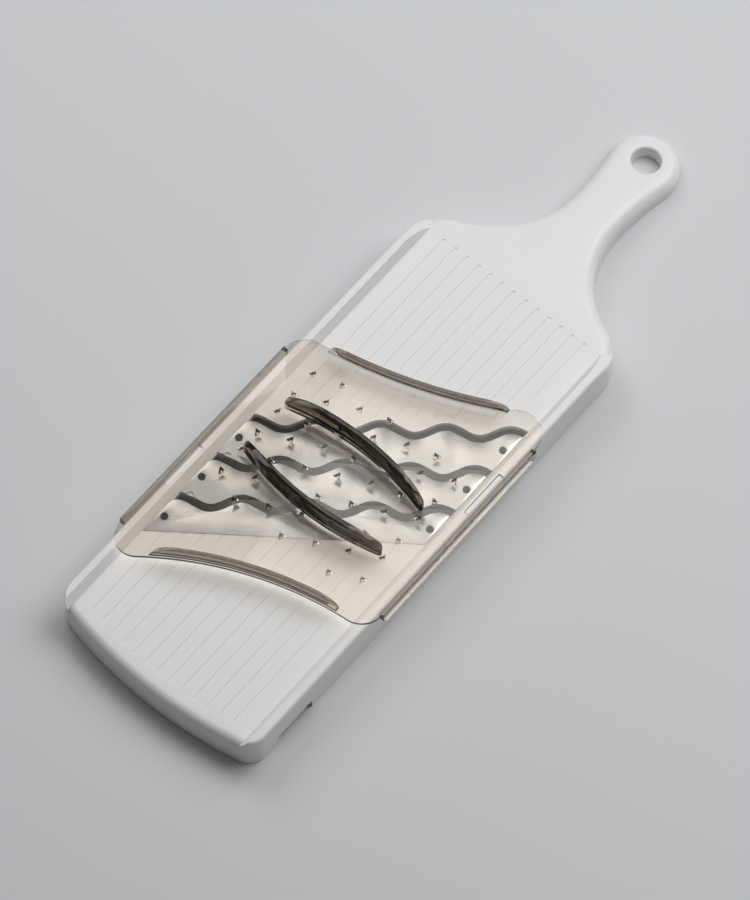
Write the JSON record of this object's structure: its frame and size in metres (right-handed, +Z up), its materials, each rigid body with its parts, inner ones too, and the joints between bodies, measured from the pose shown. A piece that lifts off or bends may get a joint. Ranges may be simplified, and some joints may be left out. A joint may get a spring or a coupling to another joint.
{
  "type": "mandoline slicer",
  "caption": "Long flat board with a handle and hanging hole, slanted wavy steel blades across its deck, and a clear smoke-brown food holder that slides along the side rails.",
  "frame": {"origin": "on the resting plane, under the middle of the whole slicer's length and width", "axes": "+X to the right, +Y from the front edge to the handle, +Z up out of the deck"},
  "size_m": [0.1244, 0.378, 0.0386],
  "materials": {
    "board_plastic": "satin white moulded plastic",
    "blade_steel": "finely polished sheet steel",
    "rivet_steel": "dark plain steel",
    "smoke_plastic": "see-through smoke-brown moulded plastic"
  },
  "bodies": {
    "board": {"body": "board_plastic", "blade_rear": "blade_steel", "rivet_rear_left": "rivet_steel", "rivet_rear_right": "rivet_steel", "blade_middle": "blade_steel", "rivet_middle_left": "rivet_steel", "rivet_middle_right": "rivet_steel", "blade_front": "blade_steel", "rivet_front_left": "rivet_steel", "rivet_front_right": "rivet_steel"},
    "holder": {"holder": "smoke_plastic"}
  },
  "joints": [
    {"name": "holder_slide", "type": "slide", "parent": "board", "child": "holder", "axis": [0, 1, 0], "range_m": [-0.09, 0.1]}
  ]
}
